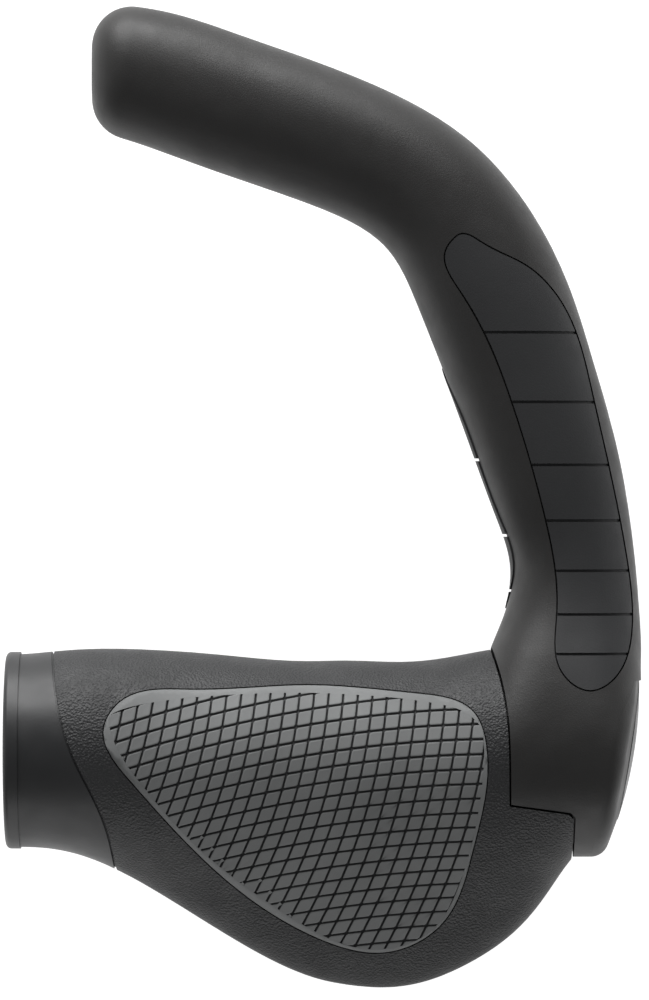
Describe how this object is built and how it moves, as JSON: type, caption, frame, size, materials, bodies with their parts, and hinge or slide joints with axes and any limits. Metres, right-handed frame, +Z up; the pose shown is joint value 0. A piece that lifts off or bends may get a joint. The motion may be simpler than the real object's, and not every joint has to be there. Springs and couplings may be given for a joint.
{
  "type": "bar end grip",
  "caption": "Winged handlebar grip with a textured palm pad and a long curved bar end that clamps on beside it.",
  "frame": {"origin": "centre of the handlebar bore at the grip's inboard face", "axes": "+X outboard along the handlebar, +Y forwards, the way the bar end reaches, +Z up; the palm pad faces up"},
  "size_m": [0.1057, 0.1638, 0.0421],
  "materials": {
    "body_rubber": "matte, fine leather grain",
    "pad_rubber": "matte",
    "collar_rubber": "satin, smooth",
    "horn_rubber": "matte, very fine grain",
    "inlay_rubber": "matte",
    "cap_plastic": "matte",
    "core_plastic": "satin",
    "frame_composite": "satin, glass-filled",
    "steel": "zinc plated"
  },
  "bodies": {
    "grip": {"grip_core": "core_plastic", "grip_body": "body_rubber", "inner_collar": "collar_rubber", "palm_pad": "pad_rubber"},
    "bar_end": {"horn_frame": "frame_composite", "horn_skin": "horn_rubber", "top_inlay": "inlay_rubber", "inner_inlay": "inlay_rubber", "end_cap": "cap_plastic", "clamp_nut": "steel"},
    "washer": {"clamp_washer": "steel"},
    "bolt": {"clamp_bolt": "steel"}
  },
  "joints": [
    {"name": "bar_end_angle", "type": "hinge", "parent": "grip", "child": "bar_end", "pos_m": [0.09, 0, 0], "axis": [1, 0, 0], "range_deg": [-20, 0]},
    {"name": "washer_slide", "type": "slide", "parent": "bar_end", "child": "washer", "axis": [0, -1, 0], "range_m": [0, 0.0024]},
    {"name": "bolt_turn", "type": "hinge", "parent": "washer", "child": "bolt", "pos_m": [0.091, -0.0065, -0.0196], "axis": [0, -1, 0], "range_deg": [0, 1080]}
  ],
  "couplings": [
    {"joint": "bolt_turn", "follows": "washer_slide", "rad_per_m": 7854}
  ]
}
